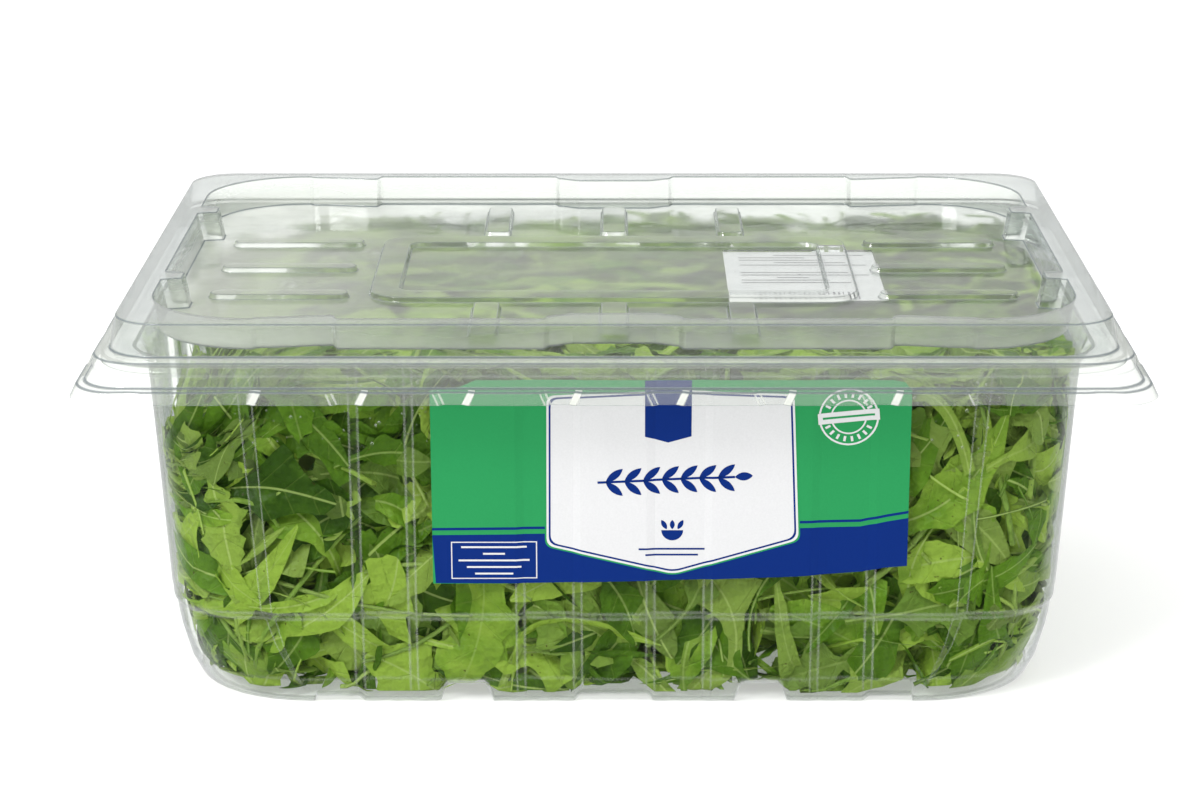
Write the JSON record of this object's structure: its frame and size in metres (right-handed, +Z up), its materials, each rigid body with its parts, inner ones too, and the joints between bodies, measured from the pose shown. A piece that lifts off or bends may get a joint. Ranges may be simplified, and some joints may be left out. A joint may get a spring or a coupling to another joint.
{
  "type": "clear salad tub with lid",
  "caption": "Clear rectangular tub with a press-on lid, packed full of rocket leaves, with a printed front label and a small label under the lid.",
  "frame": {"origin": "centre of the bounding box at the bottom of the feet", "axes": "+X along the long side, +Y from the labelled front to the back, +Z up"},
  "size_m": [0.39, 0.29, 0.1516],
  "materials": {
    "tray_plastic": "clear formed PET",
    "lid_plastic": "clear formed PET",
    "leaf": "fresh green leaf",
    "front_label": "coated printed label",
    "top_label": "white thermal label"
  },
  "bodies": {
    "root": {"tray": "tray_plastic", "lid": "lid_plastic", "salad_leaves": "leaf", "front_label": "front_label", "top_label": "top_label"}
  },
  "joints": []
}
